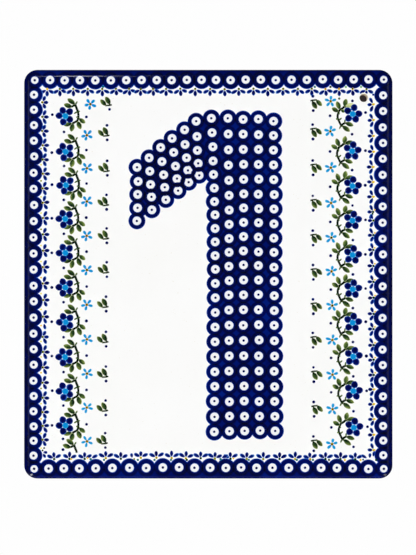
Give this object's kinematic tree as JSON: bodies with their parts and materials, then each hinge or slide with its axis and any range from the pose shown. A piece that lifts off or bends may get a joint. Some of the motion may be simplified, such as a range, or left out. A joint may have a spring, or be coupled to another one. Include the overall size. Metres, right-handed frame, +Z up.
{
  "type": "house number plaque",
  "caption": "Upright rectangular wall plaque of glazed stoneware with a softly rolled front edge, a bare foot rim at the back and a hanging hole near one top corner.",
  "frame": {"origin": "middle of the wall plane that the foot rim at the back lies on", "axes": "+Z up, +X to the right of someone who faces the plaque, -Y out of the painted front, +Y into the wall"},
  "size_m": [0.19, 0.0095, 0.2108],
  "materials": {
    "glazed_stoneware": "clear glaze over blue stamped decoration on white stoneware"
  },
  "bodies": {
    "root": {"plaque": "glazed_stoneware"}
  },
  "joints": []
}
